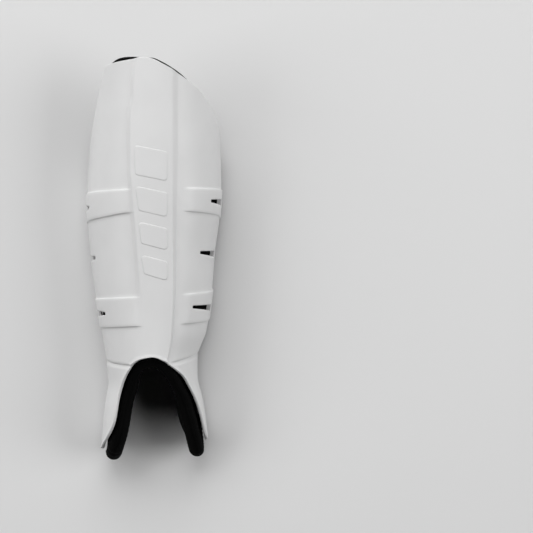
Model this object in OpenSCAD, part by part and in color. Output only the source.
// Field hockey shin guard for the right leg: a rigid moulded shell over a padded liner,
// with two hook-and-loop straps across the open back.
// +Z is up with the guard lying on its back, +Y points to the knee and +X to the inside of the leg.
// Places on the guard are given as [angle, y]. The angle runs across the guard: 0 on the crest,
// 90 where the side wall turns vertical and 110 at its rear edge, negative on the outside of the leg.

/* [Shell] */
// Length of the shell from the knee edge to the ankle lobes
shell_length = 301; // [280:1:320]
// Width of the shell across the calf
shell_width = 104; // [98:1:112]
// Height of the side panels at the crest, without the ridge
crest_height = 74; // [70:1:80]
// Thickness of the moulded wall
wall = 2.2; // [1.8:0.1:2.6]
// How far the middle ridge stands above the side panels
ridge_rise = 2.4; // [1:0.1:3]
// How far the two bands over the straps stand out
band_rise = 1; // [0.6:0.1:1.6]
// Depth of the groove above the ankle lobes
groove_depth = 1; // [0.4:0.1:1.4]
// Height of the shell's rear edges above the floor
shell_rear = 5; // [4:0.5:8]
// Width of a vent at its front end
vent_front = 2.2; // [1.5:0.1:3]
// Width of a vent at its rear end
vent_rear = 5.4; // [4:0.1:6]

/* [Liner] */
// Thickness of the foam core
foam = 7; // [6:0.5:8]
// Thickness of the outer cover and of the inner lining
cloth = 0.8; // [0.5:0.1:1]
// Extra thickness of the foam around the inner ankle bone
ankle_foam = 2; // [1:0.5:4]
// Extra thickness of the foam around the outer ankle bone
outer_ankle_foam = 2.8; // [1:0.2:4]
// Thickness of the ankle cushions at their middle
cushion = 3.8; // [2.4:0.2:4]
// Width of the binding tape around the liner's edge
binding = 1.2; // [0.8:0.1:1.6]
// Height of the liner's rear edges above the floor, which leaves room for the straps below them
liner_rear = 1.8; // [1.8:0.1:2.4]
// Thickness of each hook or loop patch between the shell and the liner
patch = 0.8; // [0.6:0.1:0.9]

/* [Straps] */
// Width of the elastic straps
strap_width = 20; // [16:1:22]
// Thickness of the straps, their tails and the ring tabs
strap_thick = 1.5; // [1.2:0.1:1.5]
// Radius of the bars of the plastic rings
bar_r = 1; // [0.8:0.1:1.1]
// Distance between the two long bars of a ring
ring_pitch = 9; // [8:0.5:11]
// Thickness of the hook and loop faces on the straps
grip_thick = 0.95; // [0.6:0.05:0.95]

/* [Hidden] */

// The outlines below are drawn at this size and are scaled to the dimensions above.
draft_length = 301;
draft_width = 104;
draft_crest = 74;
kx = shell_width / draft_width;
ky = shell_length / draft_length;
kz = crest_height / draft_crest;

// Middle of the whole guard's box in the draft's axes, which becomes the origin
middle_x = -0.7 * kx;
middle_y = -3 * ky;
crest_x = 1.5 * kx;
wall_top = 22 * kz;
rear_angle = 110;

// Half widths of the side panels from the crest line, by y
LATERAL_HALF = [[-155, 44], [-118, 41], [-108, 39.5], [-98, 37.9], [-80, 39.6], [-25, 48.6],
                [6, 52.2], [45, 54.5], [84, 52.5], [150, 47.5]];
MEDIAL_HALF = [[-155, 41.5], [-142, 39.8], [-119, 36.7], [-108, 34.6], [-97, 31.7], [-88, 31.3],
               [-79, 31.4], [-57, 38.6], [-25, 42.8], [6, 45.3], [30, 48.5], [60, 50.2], [84, 49.6],
               [150, 44.5]];
// Height of the side panels' surface on the crest line, by y
CREST = [[-155, 70], [-76, 70.5], [0, 72], [80, 74], [150, 74]];

// Edges of the shell and of the liner, as [angle, y]
SHELL_KNEE = [[-110, 60], [-100, 66], [-90, 76], [-80, 91], [-70, 107], [-58, 136], [-55.5, 142],
              [-51.5, 146.5], [-44, 148], [-20, 150.2], [-9, 151.4], [0, 150], [8, 147],
              [27, 138.7], [50, 127], [70, 114], [81, 107], [90, 100], [104, 89], [110, 84]];
SHELL_ANKLE = [[-110, -137], [-106, -143], [-99, -147.5], [-90, -149.6], [-80, -148.4], [-71, -145],
               [-62, -140.2], [-52.8, -133.2], [-47.8, -126.5], [-45.4, -118], [-44.2, -109],
               [-42, -101], [-36, -92.7], [-29, -86.4], [-22, -81], [-12, -77.4], [0, -76],
               [13, -78.6], [23, -82], [35, -86.6], [45, -90.8], [57, -99.5], [65.5, -110.5],
               [72, -121], [77.5, -132], [81.5, -139], [87, -142.2], [93, -143], [101, -140.6],
               [107, -136], [110, -131]];
LINER_KNEE = [[-110, 63], [-100, 69], [-90, 79], [-80, 94], [-70, 111], [-62, 131.5], [-56, 146],
              [-52, 150.3], [-47, 151.8], [-42, 152.7], [-34, 153.1], [-20, 152.7], [-9, 152.1],
              [0, 151.6], [9, 149.4], [20, 145.8], [34, 140.1], [46, 133.4], [58, 125], [70, 116.5],
              [90, 103], [104, 92], [110, 87]];
LINER_ANKLE = [[-110, -147], [-102, -154], [-90, -158.4], [-78, -157], [-65, -151.5], [-55, -143.5],
               [-47.5, -132], [-43.5, -118], [-39, -105.5], [-30, -94.5], [-17, -86.2], [0, -83.8],
               [14, -86.4], [27, -91], [39, -97], [47.5, -103.5], [55, -112.5], [60, -122.5],
               [66, -133.5], [72, -143], [80, -152], [90, -155.6], [101, -152.5], [110, -144]];

// The ridge: x of its outside shoulder, the width over which that shoulder falls, and x of the
// top and the foot of its inside shoulder, all by y
RIDGE_LATERAL = [[-70, -3], [-36, -5.9], [-13, -7.7], [6, -9.3], [43, -12.1], [66, -13.9],
                 [96, -14.3], [110, -13.9], [122, -11.8], [134, -11.6], [150, -9.2]];
RIDGE_FALL = [[-70, 18], [-25, 5.5], [-5, 4.6], [150, 4.6]];
RIDGE_TOP = [[-78, 11], [-68, 13], [-59, 14.2], [-25, 15.4], [6, 15.3], [45, 14.8], [150, 14.6]];
RIDGE_FOOT = [[-78, 12.8], [-68, 15], [-59, 16.6], [-25, 19], [6, 19.6], [45, 20.4], [80, 21.1],
              [150, 21.1]];

// The bands' edges, as [angle, y]
LOW_BAND_FOOT = [[-110, -56.4], [0, -52], [110, -48.6]];
LOW_BAND_HEAD = [[-110, -33.4], [0, -29.6], [110, -24.6]];
HIGH_BAND_FOOT = [[-110, 25], [-43, 30.8], [-21, 33.5], [20, 35.2], [52, 34], [110, 31]];
HIGH_BAND_HEAD = [[-110, 49], [0, 52], [110, 53.8]];
band_step = 1.2;
band_fade = 8;
// Distance of the bands' ends from the ridge's foot on the inside of the leg
band_clear = 3;

// The groove above the ankle lobes: its upper lip, as [angle, y], and its width
GROOVE_LIP = [[-110, -77.5], [0, -82], [27, -79.3], [72, -75], [110, -73]];
groove_width = 4.5;

// Vents: side (-1 outside of the leg), y of the front end, y of the rear end, height of the front end
VENTS = [[-1, 38.6, 37.6, 41], [-1, -0.3, -1, 44], [-1, -43.2, -43.6, 50.4],
         [1, 43.5, 43, 48], [1, 3.7, 2.6, 53], [1, -38, -39.4, 57]];
vent_floor = 16;

// Hook-and-loop patches: [lowest angle, highest angle, lowest y, highest y]
PATCHES = [[-60, -38, 88, 122], [38, 60, 76, 104], [-12, 9, 84, 132],
           [-10, 10, -14, 28], [-84, -62, -132, -108], [76, 92, -122, -102]];

// Ankle cushions: [middle angle, half span, middle y, half length, distance from the foam core]
CUSHIONS = [[-80, 22, -116, 26, 0.25], [86, 14, -118, 20, 0.5]];
cushion_rim = 0.25;
cushion_room = 1.7;
// Share of these spans that a cushion's foam reaches, and share of the crown's height that it fills
cushion_reach = 0.72;
cushion_fill = 0.7;

// Layers of the liner, as distances inwards from the side panels' surface
// The gap lets the shell lift off, and the seam is the glue or thread between fixed pieces.
gap = 0.3;
seam = 0.25;
hook_depth = wall + seam;
loop_depth = hook_depth + patch + gap;
cover_depth = loop_depth + patch + seam;
foam_depth = cover_depth + cloth;
calf_depth = foam_depth + foam;

// Columns and rows of the surface grids
SHELL_ANGLES = [-110, -107, -103, -97, -90, -82, -74, -66, -59, -56, -53, -50.5, -48.5, -47, -45.8,
                -45, -44.2, -42.5, -39.5, -36, -32, -28, -24, -21.5, -19, -16.5, -14, -11.5, -7, 0, 8,
                14, 16.5, 19, 21.5, 24, 28, 33, 39, 45, 51, 57, 62, 66, 69.5, 72.5, 75.5, 78, 81,
                85, 90, 97, 103, 107, 110];
LINER_ANGLES = [-104, -98, -90, -82, -74, -66, -58, -52, -47, -43, -40, -37, -33, -28, -22, -15,
                -7, 0, 7, 15, 22, 28, 34, 40, 46, 51, 55, 59, 63, 68, 74, 82, 90, 98, 104];
liner_rows = 20;
least_row = 0.7;

// Straps, the upper one first: y of the middle, and the length of the tail that folds back
straps_y = [43, -43];
tails = [40 * kx, 25 * kx];
tail_clear = 0.3;
strap_mid = strap_thick / 2;
bar_gap = 0.1;
turn_r = bar_r + bar_gap + strap_mid;
bar_z = 0.3 + strap_thick + bar_gap + bar_r;
bar_inset = 11;
fold_run = 2;
sewn_top = 20;
tab_top = 14;
grip_edge = 1.5;
hook_length = 18;
strap_top = bar_z + bar_r + bar_gap;
tail_top = bar_z - bar_r - bar_gap;

// A smooth curve through [place, value] pairs, which never swings past them
function span(keys, x, i = 0) =
  i >= len(keys) - 2 || x < keys[i + 1][0] ? i : span(keys, x, i + 1);
function chord(keys, i) = (keys[i + 1][1] - keys[i][1]) / (keys[i + 1][0] - keys[i][0]);
function tangent(keys, i) =
  i == 0 ? chord(keys, 0) :
  i == len(keys) - 1 ? chord(keys, i - 1) :
  let (a = chord(keys, i - 1), b = chord(keys, i)) a * b <= 0 ? 0 : 2 * a * b / (a + b);
function curve(keys, x) =
  let (
    low = keys[0][0],
    high = keys[len(keys) - 1][0],
    at = min(max(x, low), high),
    i = span(keys, at),
    h = keys[i + 1][0] - keys[i][0],
    t = (at - keys[i][0]) / h
  )
  keys[i][1] * (1 + 2 * t) * (1 - t) * (1 - t) + keys[i + 1][1] * t * t * (3 - 2 * t)
    + h * tangent(keys, i) * t * (1 - t) * (1 - t) - h * tangent(keys, i + 1) * t * t * (1 - t);
function ramp(t) = t <= 0 ? 0 : t >= 1 ? 1 : t * t * (3 - 2 * t);
function mix(a, b, t) = a + (b - a) * t;

// The side panels' surface: a half ellipse on two vertical walls, and a point at a distance from it
function half_width(a, y) = kx * (a < 0 ? curve(LATERAL_HALF, y) : curve(MEDIAL_HALF, y));
function bent(a) = min(max(a, -90), 90);
function rise(y) = kz * curve(CREST, y) - wall_top;
function side_x(a, y) = crest_x + half_width(a, y) * sin(bent(a));
function place(a, y, out, rear) =
  let (
    w = half_width(a, y),
    h = rise(y),
    normal = [sin(bent(a)) / w, cos(bent(a)) / h],
    step = normal / norm(normal) * out,
    drop = max(abs(a) - 90, 0) / (rear_angle - 90)
  )
  [
    crest_x + w * sin(bent(a)) + step[0],
    y * ky,
    mix(wall_top + h * cos(bent(a)) + step[1], rear, drop)
  ];

// How far the shell's outer face and its inner face stand out from the side panels' surface
function outside_ridge(a, y) =
  let (x = side_x(a, y) / kx) max(curve(RIDGE_LATERAL, y) - x, x - curve(RIDGE_FOOT, y));
function ridge(a, y) =
  let (
    x = side_x(a, y) / kx,
    fall = curve(RIDGE_FALL, y),
    foot = curve(RIDGE_FOOT, y)
  )
  ramp((x - curve(RIDGE_LATERAL, y)) / fall + 1) * ramp((foot - x) / (foot - curve(RIDGE_TOP, y)));
function between(y, low, high) = ramp((y - low) / band_step + 0.5) * ramp((high - y) / band_step + 0.5);
function band(a, y) =
  ramp((outside_ridge(a, y) - (a > 0 ? band_clear : 0)) / band_fade) * (
    between(y, curve(LOW_BAND_FOOT, a), curve(LOW_BAND_HEAD, a))
    + between(y, curve(HIGH_BAND_FOOT, a), curve(HIGH_BAND_HEAD, a)));
function groove(a, y) =
  let (below = curve(GROOVE_LIP, a) - y)
  ramp(outside_ridge(a, y) / band_fade) * ramp(below) * (1 - ramp((below - 1) / (groove_width - 1)));
function shell_out(a, y) = ridge_rise * ridge(a, y) + band_rise * band(a, y) - groove_depth * groove(a, y);
function shell_in(a, y) = band_rise * band(a, y) - wall;

// Where the lining starts: the foam grows thicker towards the ankle on both sides
function lining_depth(a, y) =
  calf_depth
    + ankle_foam * ramp((a - 15) / 40) * ramp((-88 - y) / 34)
    + outer_ankle_foam * ramp((-15 - a) / 25) * ramp((-82 - y) / 22);

// An ankle cushion's crown, and how far it lifts the lining: the lift begins a little way outside it
function crown(c, a, y) =
  let (u = (a - c[0]) / c[1], v = (y - c[2]) / c[3]) max(1 - u * u, 0) * max(1 - v * v, 0);
function lift(c, a, y) =
  let (u = abs(a - c[0]) / c[1], v = abs(y - c[2]) / c[3])
  cushion * crown(c, a, y) + cushion_room * ramp((1.35 - u) / 0.3) * ramp((1.7 - v) / 0.5);
function swell(a, y) = lift(CUSHIONS[0], a, y) + lift(CUSHIONS[1], a, y);

// Faces of a closed slab whose points are rows of its outer face, then the same rows of its inner face
function quad(a, b, c, d) = [[a, b, c], [a, c, d]];
function slab_faces(rows, columns) =
  let (
    id = function (r, c, k) (k * rows + r) * columns + c,
    top = rows - 1,
    end = columns - 1
  )
  [
    for (r = [0 : top - 1], c = [0 : end - 1])
      each concat(
        quad(id(r, c, 0), id(r + 1, c, 0), id(r + 1, c + 1, 0), id(r, c + 1, 0)),
        quad(id(r, c, 1), id(r, c + 1, 1), id(r + 1, c + 1, 1), id(r + 1, c, 1))),
    for (c = [0 : end - 1])
      each concat(
        quad(id(0, c, 0), id(0, c + 1, 0), id(0, c + 1, 1), id(0, c, 1)),
        quad(id(top, c + 1, 0), id(top, c, 0), id(top, c, 1), id(top, c + 1, 1))),
    for (r = [0 : top - 1])
      each concat(
        quad(id(r + 1, 0, 0), id(r, 0, 0), id(r, 0, 1), id(r + 1, 0, 1)),
        quad(id(r, end, 0), id(r + 1, end, 0), id(r + 1, end, 1), id(r, end, 1)))
  ];
module slab(outer, inner) {
  polyhedron([each each outer, each each inner], slab_faces(len(outer), len(outer[0])), convexity = 8);
}

// A bar of four-sided rings, joined end to end when it is a loop and capped when it isn't
module bar(rings, loop = false) {
  n = len(rings);
  last = loop ? n - 1 : n - 2;
  sides = [
    for (s = [0 : last], j = [0 : 3])
      let (t = (s + 1) % n, k = (j + 1) % 4) each quad(4 * s + j, 4 * s + k, 4 * t + k, 4 * t + j)
  ];
  e = 4 * (n - 1);
  caps = loop ? [] : concat(quad(3, 2, 1, 0), quad(e, e + 1, e + 2, e + 3));
  polyhedron([each each rings], concat(sides, caps), convexity = 8);
}

module in_frame() {
  translate([-middle_x, -middle_y, 0]) children();
}

// Rows of the shell's grid at one angle, which follow its edges, the groove and the bands
function stations(a) =
  let (
    foot = curve(SHELL_ANKLE, a),
    head = curve(SHELL_KNEE, a),
    lip = curve(GROOVE_LIP, a),
    lobe = lip - groove_width,
    s = band_step / 2,
    edges = [for (line = [LOW_BAND_FOOT, LOW_BAND_HEAD, HIGH_BAND_FOOT, HIGH_BAND_HEAD]) curve(line, a)],
    low = [
      for (t = [0 : 0.2 : 1]) mix(foot, lobe, t),
      lip - 1, lip, -68,
      edges[0] - s, edges[0] + s, mix(edges[0], edges[1], 0.5),
      edges[1] - s, edges[1] + s, mix(edges[1], edges[2], 0.33), mix(edges[1], edges[2], 0.67),
      edges[2] - s, edges[2] + s, mix(edges[2], edges[3], 0.5)
    ],
    high = [
      edges[3] - s, edges[3] + s,
      for (t = [0.17 : 0.166 : 1]) mix(edges[3] + s, head, t)
    ]
  )
  concat(
    [for (k = [0 : len(low) - 1]) max(low[k], foot + least_row * k)],
    [for (k = [0 : len(high) - 1]) k == len(high) - 1 ? head : high[k]]);

module outer_shell() {
  grid = [for (a = SHELL_ANGLES) stations(a)];
  rows = len(grid[0]) - 1;
  outer = [
    for (r = [0 : rows])
      [for (c = [0 : len(grid) - 1])
        let (a = SHELL_ANGLES[c], y = grid[c][r]) place(a, y, shell_out(a, y), shell_rear)]
  ];
  inner = [
    for (r = [0 : rows])
      [for (c = [0 : len(grid) - 1])
        let (a = SHELL_ANGLES[c], y = grid[c][r]) place(a, y, shell_in(a, y), shell_rear)]
  ];
  color("whitesmoke") in_frame() difference() {
    slab(outer, inner);
    for (v = VENTS) vent(v);
  }
}

// A wedge that widens towards the rear, with a flat at each end
module vent(v) {
  front = vent_front / 2;
  rear = vent_rear / 2;
  reach = 60 * kx;
  translate([v[0] < 0 ? crest_x - reach : crest_x + 12, 0, 0])
    rotate([90, 0, 90])
      linear_extrude(reach - 12)
        polygon([
          [v[1] * ky - front, v[3] * kz - 1.5], [v[1] * ky - front / 2, v[3] * kz],
          [v[1] * ky + front / 2, v[3] * kz], [v[1] * ky + front, v[3] * kz - 1.5],
          [v[2] * ky + rear, vent_floor + 2], [v[2] * ky + rear / 2, vent_floor],
          [v[2] * ky - rear / 2, vent_floor], [v[2] * ky - rear, vent_floor + 2]
        ]);
}

// A thin pad that follows the guard's surface over one of PATCHES, between two depths
module surface_patch(p, near, far) {
  columns = 4;
  rows = 4;
  at = function (depth) [
    for (r = [0 : rows])
      [for (c = [0 : columns])
        place(mix(p[0], p[1], c / columns), mix(p[2], p[3], r / rows), -depth, liner_rear)]
  ];
  slab(at(near), at(far));
}
module hook_patch(i) {
  color("gray") in_frame() surface_patch(PATCHES[i], hook_depth, hook_depth + patch);
}
module loop_patch(i) {
  color("dimgray") in_frame() surface_patch(PATCHES[i], loop_depth, loop_depth + patch);
}

// The liner's edge moved inwards by the binding's width, measured along the surface. The tape is
// narrower than this by the seam.
function edge_slope(keys, a) =
  (curve(keys, a + 0.5) - curve(keys, a - 0.5)) / (half_width(a, -100) * PI / 180);
function inset(keys, a) = binding * min(sqrt(1 + pow(edge_slope(keys, a), 2)), 4);
function liner_low(a, share = 1) = curve(LINER_ANKLE, a) + share * inset(LINER_ANKLE, a);
function liner_high(a, share = 1) = curve(LINER_KNEE, a) - share * inset(LINER_KNEE, a);
function side_angle(width) = rear_angle - width / (wall_top - liner_rear) * (rear_angle - 90);
function with_sides(angle) = concat([-angle], LINER_ANGLES, [angle]);
COLUMNS = with_sides(side_angle(binding));

module liner_layer(near, far) {
  at = function (depth) [
    for (r = [0 : liner_rows])
      [for (a = COLUMNS)
        let (y = mix(liner_low(a), liner_high(a), r / liner_rows)) place(a, y, -depth(a, y), liner_rear)]
  ];
  slab(at(near), at(far));
}
module outer_cover() {
  color("dimgray") in_frame()
    liner_layer(function (a, y) cover_depth, function (a, y) foam_depth);
}
module foam_core() {
  color("lightgray") in_frame()
    liner_layer(function (a, y) foam_depth, function (a, y) lining_depth(a, y));
}
module inner_lining() {
  color("black") in_frame()
    liner_layer(
      function (a, y) lining_depth(a, y) + swell(a, y),
      function (a, y) lining_depth(a, y) + cloth + swell(a, y));
}
module ankle_cushion(i) {
  c = CUSHIONS[i];
  steps = 10;
  at = function (share) [
    for (r = [0 : steps])
      [for (k = [0 : steps])
        let (
          a = c[0] + cushion_reach * c[1] * (2 * k / steps - 1),
          y = c[2] + cushion_reach * c[3] * (2 * r / steps - 1),
          back = lining_depth(a, y) + c[4]
        )
        place(a, y, -back - share * (cushion_fill * cushion * crown(c, a, y) + cushion_rim), liner_rear)]
  ];
  color("silver") in_frame() slab(at(0), at(1));
}

// The tape around the liner's edge: along the ankle edge, up one rear edge, back along the knee
// edge and down the other rear edge
module edge_binding() {
  tape = binding - seam;
  share = tape / binding;
  outer_angles = with_sides(rear_angle);
  inner_angles = with_sides(side_angle(tape));
  last = len(outer_angles) - 1;
  far = function (a, y) lining_depth(a, y) + cloth;
  ring = function (a, y, b, z) [
    place(a, y, -cover_depth, liner_rear), place(b, z, -cover_depth, liner_rear),
    place(b, z, -far(b, z), liner_rear), place(a, y, -far(a, y), liner_rear)
  ];
  low = [
    for (i = [0 : last])
      let (a = outer_angles[i], b = inner_angles[i]) ring(a, curve(LINER_ANKLE, a), b, liner_low(b, share))
  ];
  high = [
    for (i = [last : -1 : 0])
      let (a = outer_angles[i], b = inner_angles[i]) ring(a, curve(LINER_KNEE, a), b, liner_high(b, share))
  ];
  side = function (a, b) [
    for (i = [1 : liner_rows - 1])
      let (y = mix(liner_low(b), liner_high(b), i / liner_rows)) ring(a, y, b, y)
  ];
  outside = side(outer_angles[0], inner_angles[0]);
  inside = side(outer_angles[last], inner_angles[last]);
  downward = [for (i = [len(outside) - 1 : -1 : 0]) outside[i]];
  color("black") in_frame() bar(concat(low, inside, high, downward), loop = true);
}

// A flat band of webbing: its route is a list of [x, z, heading], one for each of its two edges
function across(route, out) =
  [for (p = route) [p[0] - sin(p[2]) * out, p[1] + cos(p[2]) * out]];
module webbing(y, route) {
  h = strap_width / 2;
  r0 = route(y - h);
  r1 = route(y + h);
  under = [across(r0, -strap_mid), across(r1, -strap_mid)];
  over = [across(r0, strap_mid), across(r1, strap_mid)];
  at = function (p, v) [p[0], v * ky, p[1]];
  bar([
    for (i = [0 : len(r0) - 1])
      [at(under[1][i], y + h), at(under[0][i], y - h), at(over[0][i], y - h), at(over[1][i], y + h)]
  ]);
}
function wall_x(side, y) = side_x(side * 90, y);
function bar_x(y) = wall_x(1, y) - calf_depth - cloth - bar_inset;
function turn(x, z, r, from, to, steps) = [
  for (i = [0 : steps])
    let (h = mix(from, to, i / steps), way = to > from ? 1 : -1)
    [x + way * r * sin(h), z - way * r * cos(h), h]
];

// The strap is sewn to the outside of the liner, passes under its rear edge, crosses the open back
// and turns round the ring's free bar
function strap_route(y, mid) =
  let (
    face = wall_x(-1, y) + cover_depth,
    inner = wall_x(-1, mid) + calf_depth + cloth,
    free = bar_x(mid) - ring_pitch,
    high = bar_z + turn_r,
    under = strap_mid + gap / 2
  )
  concat(
    [[face - strap_mid - seam, sewn_top, -90]],
    turn(face - seam + gap / 2, under + strap_mid, under, -90, 0, 3),
    [
      [inner + 1, strap_mid, 0],
      [inner + 5, mix(strap_mid, high, 0.3), 26],
      [inner + 8, mix(strap_mid, high, 0.8), 24],
      [inner + 12, high, 0]
    ],
    turn(free, bar_z, turn_r, 0, -180, 8),
    [[free - fold_run, bar_z - turn_r, -180]]);
module strap(i) {
  color("black") in_frame() webbing(straps_y[i], function (y) strap_route(y, straps_y[i]));
}

// The ring tab is sewn to the other side of the liner and goes round the ring's held bar. Its route
// is drawn for the outside of the leg and mirrored.
function tab_route(y, mid) =
  let (
    face = cover_depth - wall_x(1, y),
    inner = calf_depth + cloth - wall_x(1, mid),
    under = strap_mid + gap / 2
  )
  concat(
    [[face - strap_mid - seam, tab_top, -90]],
    turn(face - seam + gap / 2, under + strap_mid, under, -90, 0, 3),
    [[inner + 1, strap_mid, 0], [inner + 4, bar_z - turn_r, 0]],
    turn(-bar_x(mid), bar_z, turn_r, 0, 180, 8),
    [[inner + 3, bar_z + turn_r, 180]]);
module ring_tab(i) {
  color("black") in_frame()
    mirror([1, 0, 0]) webbing(straps_y[i], function (y) tab_route(y, straps_y[i]));
}

// A rectangular ring of round bar: the strap turns round one long bar and the tab holds the other
module ring(i) {
  held = bar_x(straps_y[i]);
  half = strap_width / 2 + bar_r + 0.8;
  color("dimgray") in_frame() translate([held - ring_pitch, straps_y[i] * ky, bar_z]) {
    for (x = [0, ring_pitch])
      translate([x, -half, 0]) rotate([-90, 0, 0]) cylinder(h = 2 * half, r = bar_r, $fn = 32);
    for (y = [-half, half])
      translate([0, y, 0]) {
        rotate([0, 90, 0]) cylinder(h = ring_pitch, r = bar_r, $fn = 32);
        for (x = [0, ring_pitch]) translate([x, 0, 0]) sphere(r = bar_r, $fn = 32);
      }
  }
}

// Flat pieces of the straps: from one x to another, with the corners of the low end cut off
module tongue(i, from, to, width, low, high, corner) {
  h = width / 2;
  in_frame() translate([0, straps_y[i] * ky, low])
    linear_extrude(high - low)
      polygon([
        [from + corner, -h], [to, -h], [to, h], [from + corner, h],
        [from, h - corner], [from, corner - h]
      ]);
}
function fold_x(i) = bar_x(straps_y[i]) - ring_pitch - fold_run - tail_clear;
module tail(i) {
  color("black")
    tongue(i, fold_x(i) - tails[i], fold_x(i), strap_width, tail_top - strap_thick, tail_top, 3);
}
module hook_tab(i) {
  low = fold_x(i) - tails[i] + grip_edge;
  color("gray")
    tongue(i, low, low + hook_length, strap_width - 2 * grip_edge, tail_top, tail_top + grip_thick, 2);
}
module loop_field(i) {
  low = strap_top - grip_thick;
  color("dimgray")
    tongue(i, fold_x(i) - tails[i], fold_x(i), strap_width - grip_edge, low, strap_top, 0.5);
}

outer_shell();
hook_patch(0);  // hook_patch_knee_lateral
hook_patch(1);  // hook_patch_knee_medial
hook_patch(2);  // hook_patch_crest
hook_patch(3);  // hook_patch_shin
hook_patch(4);  // hook_patch_ankle_lateral
hook_patch(5);  // hook_patch_ankle_medial
loop_patch(0);  // loop_patch_knee_lateral
loop_patch(1);  // loop_patch_knee_medial
loop_patch(2);  // loop_patch_crest
loop_patch(3);  // loop_patch_shin
loop_patch(4);  // loop_patch_ankle_lateral
loop_patch(5);  // loop_patch_ankle_medial
outer_cover();
foam_core();
ankle_cushion(0);  // lateral_ankle_cushion
ankle_cushion(1);  // medial_ankle_cushion
inner_lining();
edge_binding();
strap(0);  // upper_strap
loop_field(0);  // upper_loop_field
ring_tab(0);  // upper_ring_tab
ring(0);  // upper_ring
strap(1);  // lower_strap
loop_field(1);  // lower_loop_field
ring_tab(1);  // lower_ring_tab
ring(1);  // lower_ring
tail(0);  // upper_tail
hook_tab(0);  // upper_hook_tab
tail(1);  // lower_tail
hook_tab(1);  // lower_hook_tab
